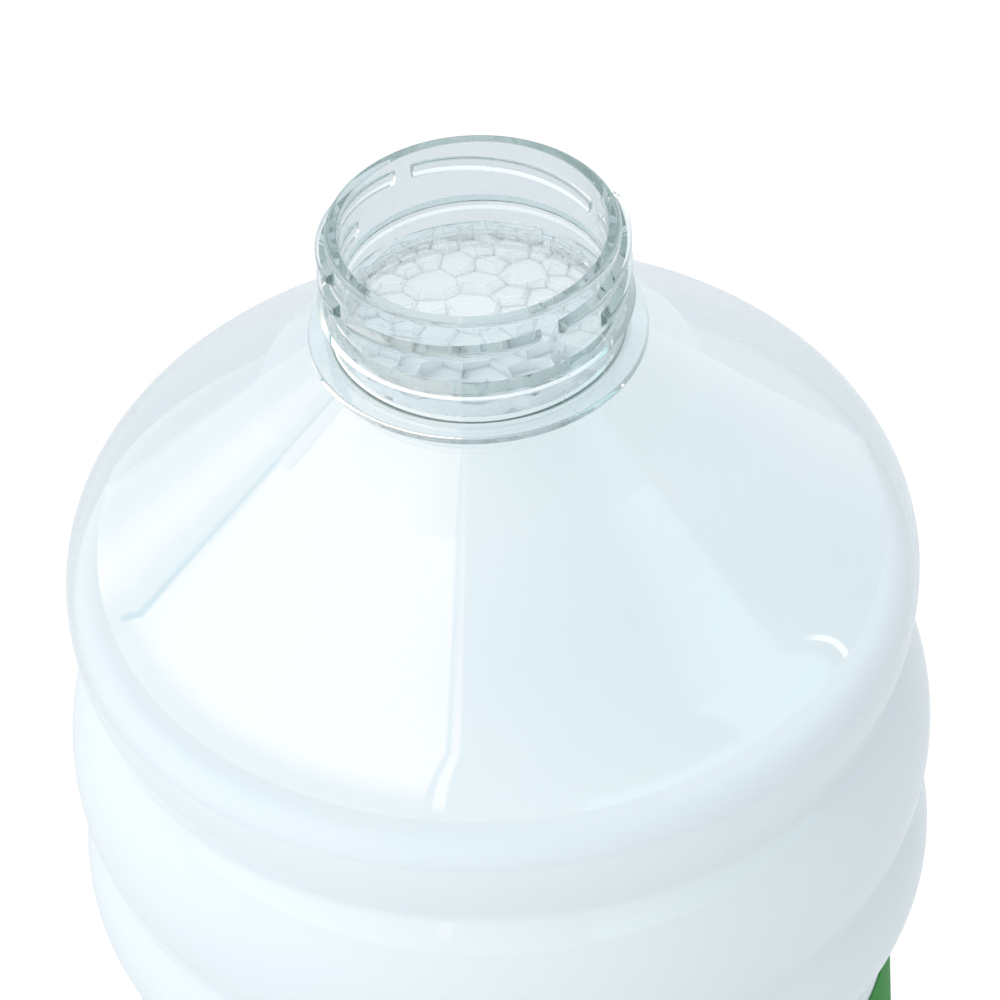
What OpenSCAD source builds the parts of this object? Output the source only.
// Clear blown bottle of white disinfectant with a wide threaded neck.
// Millimetres, +Z up, origin at the middle of the foot, on the ground plane.
// A depth is measured down from the rim of the neck, and a drop from the feature above.

/* [Neck] */
// Overall height of the bottle
height = 320; // [290:1:360]
// Outer diameter of the plain neck wall
neck_d = 35; // [33:0.5:37]
// Thickness of the neck wall
neck_wall = 1.6; // [1.2:0.1:2]
// Depth of the straight bore
bore_depth = 12; // [8:0.5:12.5]
// Step outwards under the straight bore
bore_step = 0.4; // [0.1:0.1:0.6]
// Radius that rounds the rim
rim_round = 0.6; // [0.2:0.1:0.7]

/* [Thread] */
// Height of the thread over the neck wall
thread_h = 1.1; // [0.8:0.1:1.4]
// Drop of a ridge over one full turn
thread_lead = 8; // [6:0.5:9]
// Depth of the upper end of each ridge
thread_depth = 1.6; // [1.5:0.1:2]
// Angle that each ridge covers
thread_turn = 235; // [150:5:240]
// Width of a ridge where it leaves the neck wall
thread_root = 2; // [1.6:0.1:2.2]
// Width of a ridge at its crest
thread_crest = 0.9; // [0.5:0.1:1.2]
// Direction of the first ridge's upper end
thread_start = 200; // [180:5:220]
// Direction of the first vent slot through the ridges
vent_start = 118; // [112:2:124]
// Width of each vent slot
vent_w = 2.4; // [1.5:0.1:4]

/* [Bead and support ring] */
// Depth of the middle of the bead
bead_depth = 9.9; // [9.8:0.1:10.6]
// Height of the bead over the neck wall
bead_h = 1.3; // [0.8:0.1:1.6]
// Width of the bead
bead_w = 2.2; // [1.8:0.1:2.6]
// How far the support ring stands out from the neck wall
ring_w = 2.65; // [2:0.05:4]
// Thickness of the support ring
ring_t = 1.1; // [0.8:0.1:1.6]
// Depth of the underside of the support ring
ring_depth = 16.2; // [15.6:0.1:17]
// Radius of the fillet on top of the support ring
ring_fillet = 0.9; // [0.4:0.1:1.2]

/* [Body] */
// Diameter of the recessed panel that carries the label
panel_d = 93.8; // [88:0.2:100]
// Plain neck between the support ring and the shoulder
collar = 0.35; // [0.2:0.05:1.5]
// Fall of the cone-shaped shoulder below the horizontal
shoulder_fall = 41; // [38:1:44]
// How far the shoulder stands out from the panel
shoulder_proud = 4.7; // [3:0.1:6]
// Radius that rounds the shoulder's edge
shoulder_round = 16; // [13:0.5:18]
// Radius of the curve under the shoulder
shoulder_under = 26.7; // [24:0.1:30]
// How far the second bulge stands out from the panel
bulge_proud = 5.7; // [4:0.1:7]
// Drop from the shoulder's widest line to that of the second bulge
bulge_drop = 24.5; // [22:0.5:27]
// Radius of the second bulge
bulge_round = 25; // [22:0.5:28]
// How far the third bulge stands out from the panel
third_proud = 5.1; // [3.5:0.1:6.5]
// Drop from the second bulge's widest line to that of the third
third_drop = 17.5; // [16:0.5:20]
// Radius of the third bulge
third_round = 15; // [13:0.5:17]
// Radius in the bottom of each groove between bulges
groove_round = 1.2; // [0.8:0.1:1.6]
// Radius of the cove at either end of the panel
cove_round = 8; // [5:0.5:10]

/* [Label] */
// Bare margin of panel above and below the label
label_margin = 3; // [0.5:0.5:8]
// Thickness of the label
label_t = 0.1; // [0.05:0.01:0.3]
// Width of the glued overlap of the label
label_lap = 8; // [4:1:15]

/* [Foot] */
// How far the two foot bulges stand out from the panel
foot_proud = 5.1; // [3.5:0.1:6.5]
// Radius of the two foot bulges
foot_round = 24; // [22:0.5:26]
// Height of the lower foot bulge's widest line
foot_h = 17; // [16:0.5:19]
// Rise from there to the widest line of the upper foot bulge
foot_rise = 27; // [24:0.5:30]
// Radius of the heel
heel_round = 12; // [10:0.5:13]
// Width of the flat that the bottle stands on
stand_flat = 1.5; // [0.8:0.1:3]
// Radius on the inner side of the standing ring
stand_round = 3; // [2:0.5:4]
// Height of the pushed-up middle of the base
push_up = 9; // [6:0.5:12]
// Diameter of the moulding mark in the middle of the base
gate_d = 6; // [3:0.5:10]
// How far the moulding mark stands out
gate_h = 0.8; // [0.4:0.1:1.2]
// Number of radial flutes across the standing ring
flutes = 8; // [5:1:12]
// Radius of a flute
flute_r = 4; // [3:0.5:5]
// Depth of a flute at the standing ring
flute_cut = 1.2; // [0.6:0.1:1.6]

/* [Walls and contents] */
// Wall of the blown body
wall = 0.5; // [0.4:0.05:0.8]
// Wall of the shoulder where it leaves the neck
shoulder_wall = 1.2; // [1:0.05:1.4]
// Distance over which the shoulder thins down to the body's wall
shoulder_taper = 9; // [6:0.5:14]
// Radius where the neck opens into the shoulder
throat_round = 1.8; // [1:0.1:2.5]
// Clearance between the bottle and what it holds or wears
fill_gap = 0.05; // [0.02:0.01:0.15]
// Depth of the liquid's surface
fill_depth = 52; // [46:0.5:60]
// How far the foam plug reaches up into the neck above the shoulder
foam_up = 2.5; // [1:0.1:3]
// Thickness of the foam plug
foam_t = 5; // [3:0.1:6]

/* [Hidden] */
$fn = 180;
arc_error = 0.02;
past = 1;
sunk = 0.4;
starts = 2;
vents = 4;
ridge_step = 5;
ridge_bevel = 1.6;
bevel_share = 0.25;
neck_r = neck_d / 2;
bore_r = neck_r - neck_wall;
throat_r = bore_r + bore_step;
panel_r = panel_d / 2;
taper_r = neck_r + shoulder_taper;

function heading(v) = atan2(v[1], v[0]);
function turned(v) = let (a = heading(v)) a < 0 ? a + 360 : a;
function at(a) = [cos(a), sin(a)];

// Points of an arc about c from angle a0 to a1, never further than arc_error from the true arc
function arc(c, r, a0, a1) =
    let (step = 2 * acos(1 - arc_error / r), n = max(1, ceil(abs(a1 - a0) / step)))
    [for (i = [0:n]) c + r * at(a0 + (a1 - a0) * i / n)];

// Outer one of the two places where two circles cross
function meet(c1, r1, c2, r2) =
    let (d = norm(c2 - c1),
         u = (c2 - c1) / d,
         along = (r1 * r1 - r2 * r2 + d * d) / (2 * d),
         side = sqrt(r1 * r1 - along * along) * [u[1], -u[0]],
         p = c1 + along * u + side,
         q = c1 + along * u - side)
    p[0] > q[0] ? p : q;

// Middle of the small circle that rounds the groove between two bulges
function groove(c1, r1, c2, r2) = meet(c1, r1 + groove_round, c2, r2 + groove_round);

// Middle of the cove between a bulge and the straight panel, above it or below it
function cove(c, r, side) =
    let (x = panel_r + cove_round, reach = r + cove_round)
    [x, c[1] + side * sqrt(reach * reach - pow(x - c[0], 2))];

// Height of the shoulder's cone at radius r, with the wall inset below its outside
cone_top = height - ring_depth - collar;
function cone_z(r, inset = 0) =
    cone_top - (r - neck_r) * tan(shoulder_fall) - inset / cos(shoulder_fall);

// Middles of the circles that the outline rolls over, from the shoulder down to the foot
shoulder_x = panel_r + shoulder_proud - shoulder_round;
shoulder_c = [shoulder_x, cone_z(shoulder_x, shoulder_round)];
under_c = [panel_r + shoulder_proud - shoulder_under, shoulder_c[1]];
bulge_c = [panel_r + bulge_proud - bulge_round, shoulder_c[1] - bulge_drop];
third_c = [panel_r + third_proud - third_round, bulge_c[1] - third_drop];
foot_c = [panel_r + foot_proud - foot_round, foot_h];
foot_top_c = foot_c + [0, foot_rise];
first_groove = groove(under_c, shoulder_under, bulge_c, bulge_round);
second_groove = groove(bulge_c, bulge_round, third_c, third_round);
foot_groove = groove(foot_top_c, foot_round, foot_c, foot_round);
upper_cove = cove(third_c, third_round, -1);
lower_cove = cove(foot_top_c, foot_round, 1);

// Heel: tangent inside the lower foot bulge and resting on the ground
heel_reach = foot_round - heel_round;
heel_c = [foot_c[0] + sqrt(heel_reach * heel_reach - pow(foot_h - heel_round, 2)), heel_round];

// Pushed-up base: one wide arc that leaves the standing ring without a corner
stand_c = [heel_c[0] - stand_flat, stand_round];
push_r = (pow(stand_c[0], 2) / push_up + push_up) / 2 - stand_round;
push_c = [0, push_up - push_r];
push_edge = heading(stand_c - push_c);

// Outline of the blown body from the shoulder's cone to the middle of the base, set in by inset:
// outward curves shrink by it and inward curves grow by it
function body_outline(inset) = concat(
    arc(shoulder_c, shoulder_round - inset, 90 - shoulder_fall, 0),
    arc(under_c, shoulder_under - inset, 0, heading(first_groove - under_c)),
    arc(first_groove, groove_round + inset, turned(under_c - first_groove), turned(bulge_c - first_groove)),
    arc(bulge_c, bulge_round - inset, heading(first_groove - bulge_c), heading(second_groove - bulge_c)),
    arc(second_groove, groove_round + inset, turned(bulge_c - second_groove), turned(third_c - second_groove)),
    arc(third_c, third_round - inset, heading(second_groove - third_c), heading(upper_cove - third_c)),
    arc(upper_cove, cove_round + inset, turned(third_c - upper_cove), 180),
    arc(lower_cove, cove_round + inset, 180, turned(foot_top_c - lower_cove)),
    arc(foot_top_c, foot_round - inset, heading(lower_cove - foot_top_c), heading(foot_groove - foot_top_c)),
    arc(foot_groove, groove_round + inset, turned(foot_top_c - foot_groove), turned(foot_c - foot_groove)),
    arc(foot_c, foot_round - inset, heading(foot_groove - foot_c), heading(heel_c - foot_c)),
    arc(heel_c, heel_round - inset, heading(heel_c - foot_c), -90),
    arc(stand_c, stand_round - inset, -90, push_edge - 180),
    arc(push_c, push_r + inset, push_edge, 90)
);

// Solid inside the outer skin, set in by inset, with the shoulder's cone cut off level at top_r
module vessel(inset, top_r) {
    top = cone_z(top_r, inset);
    difference() {
        rotate_extrude()
            polygon(concat([[0, top], [top_r, top]], [for (p = body_outline(inset)) [max(0, p[0]), p[1]]]));
        for (k = [0:flutes - 1])
            rotate([0, 90, 360 * (k + 0.5) / flutes])
                translate([flute_r - flute_cut, 0, stand_c[0] - heel_round])
                    cylinder(r = flute_r + inset, h = panel_d);
    }
}

// Space that runs down through the neck: straight bore, small step, throat and flared mouth
module throat(clear) {
    r0 = bore_r - clear;
    r1 = throat_r - clear;
    step_z = height - bore_depth;
    low = cone_z(taper_r, wall + clear);
    corner = cone_z(throat_r, shoulder_wall + clear);
    fall = atan((corner - low) / (taper_r - throat_r));
    flare = throat_round + clear;
    flare_z = corner + throat_round * tan((90 - fall) / 2);
    rotate_extrude()
        polygon(concat(
            [[0, height + past], [r0, height + past], [r0, step_z], [r1, step_z - bore_step]],
            arc([r1 + flare, flare_z], flare, 180, 270 - fall),
            [[taper_r, low], [taper_r - past, low - past], [0, low - past]]
        ));
}

// Everything inside the bottle's wall, less a clearance
module cavity(clear) {
    vessel(wall + clear, taper_r);
    throat(clear);
}

// One stretch of a ridge between two directions, bevelled at both ends
module ridge(a0, a1, z0) {
    n = ceil((a0 - a1) / ridge_step);
    slope = (thread_root - thread_crest) / 2 / thread_h;
    base = thread_root / 2 + slope * sunk;
    bevelled = a0 - a1 - 2 * ridge_bevel;
    angles = concat([a0], [for (i = [0:n]) a0 - ridge_bevel - bevelled * i / n], [a1]);
    last = len(angles) - 1;
    function section(i) =
        let (end = i == 0 || i == last,
             h = thread_h * (end ? bevel_share : 1),
             half = thread_root / 2 - slope * h,
             z = z0 - thread_lead * (a0 - angles[i]) / 360)
        [for (p = [[neck_r - sunk, base], [neck_r + h, half], [neck_r + h, -half], [neck_r - sunk, -base]])
            [each p[0] * at(angles[i]), z + p[1]]];
    m = 4;
    sides = [for (i = [0:last - 1], j = [0:m - 1])
        let (k = (j + 1) % m)
        [i * m + j, i * m + k, (i + 1) * m + k, (i + 1) * m + j]];
    ends = [[for (j = [m - 1:-1:0]) j], [for (j = [0:m - 1]) last * m + j]];
    polyhedron([for (i = [0:last]) each section(i)], concat(ends, sides));
}

// Thread with two starts, each ridge broken where it crosses a vent slot
module thread() {
    half_vent = asin(vent_w / 2 / neck_r);
    for (s = [0:starts - 1]) {
        top = thread_start - 360 * s / starts;
        slots = [for (v = [0:2 * vents]) vent_start + 360 - 360 * v / vents];
        cuts = [for (a = slots) if (a < top - 2 * half_vent && a > top - thread_turn + 2 * half_vent) a];
        for (i = [0:len(cuts)]) {
            a0 = i == 0 ? top : cuts[i - 1] - half_vent;
            a1 = i == len(cuts) ? top - thread_turn : cuts[i] + half_vent;
            ridge(a0, a1, height - thread_depth - thread_lead * (top - a0) / 360);
        }
    }
}

// Bead under the thread: a long ramp on top and a steep underside that holds a cap's band
module bead() {
    top = height - bead_depth + bead_w / 2;
    under = top - bead_w;
    crest = neck_r + bead_h;
    soft = bead_w / 12;
    rotate_extrude()
        polygon([
            [neck_r - sunk, top], [neck_r, top],
            [crest - soft, under + bead_w / 3], [crest, under + bead_w / 4],
            [crest - soft, under + soft], [neck_r, under], [neck_r - sunk, under]
        ]);
}

// Thin support ring with a fillet up to the neck
module support_ring() {
    under = height - ring_depth;
    top = under + ring_t;
    edge = neck_r + ring_w;
    soft = ring_t / 4;
    rotate_extrude()
        polygon(concat(
            [[neck_r - sunk, under], [edge - soft, under], [edge, under + soft],
             [edge, top - soft], [edge - soft, top]],
            arc([neck_r + ring_fillet, top + ring_fillet], ring_fillet, 270, 180),
            [[neck_r - sunk, top + ring_fillet]]
        ));
}

// Plain wall of the neck with its rounded rim, filled in, down to just under the shoulder's start
module neck_blank() {
    foot = cone_z(neck_r) - sunk;
    rotate_extrude()
        polygon(concat(
            [[0, foot], [neck_r, foot]],
            arc([neck_r - rim_round, height - rim_round], rim_round, 0, 90),
            [[0, height]]
        ));
}

// Small round mark left by the mould in the middle of the base
module gate_mark() {
    translate([0, 0, push_up - gate_h]) cylinder(d = gate_d, h = gate_h + wall / 2);
}

module bottle() {
    color([0.80, 0.90, 0.88, 0.35])
        difference() {
            union() {
                vessel(0, throat_r);
                neck_blank();
                thread();
                bead();
                support_ring();
                gate_mark();
            }
            cavity(0);
        }
}

module liquid() {
    color("white")
        intersection() {
            cavity(fill_gap);
            cylinder(r = panel_d, h = height - fill_depth);
        }
}

module foam() {
    color([0.93, 0.96, 0.96, 0.7])
        intersection() {
            cavity(fill_gap);
            translate([0, 0, cone_top + foam_up - foam_t]) cylinder(r = neck_d, h = foam_t);
        }
}

module label() {
    low = lower_cove[1] + label_margin;
    tall = upper_cove[1] - label_margin - low;
    inner = panel_r + fill_gap;
    outer = inner + label_t;
    lap = label_lap / outer * 180 / PI;
    color([0.15, 0.55, 0.20])
        translate([0, 0, low]) {
            difference() {
                cylinder(r = outer, h = tall);
                translate([0, 0, -past]) cylinder(r = inner, h = tall + 2 * past);
            }
            rotate([0, 0, 90 - lap / 2])
                rotate_extrude(angle = lap)
                    translate([outer - label_t / 2, 0]) square([label_t * 1.5, tall]);
        }
}

bottle();
liquid();
foam();
label();
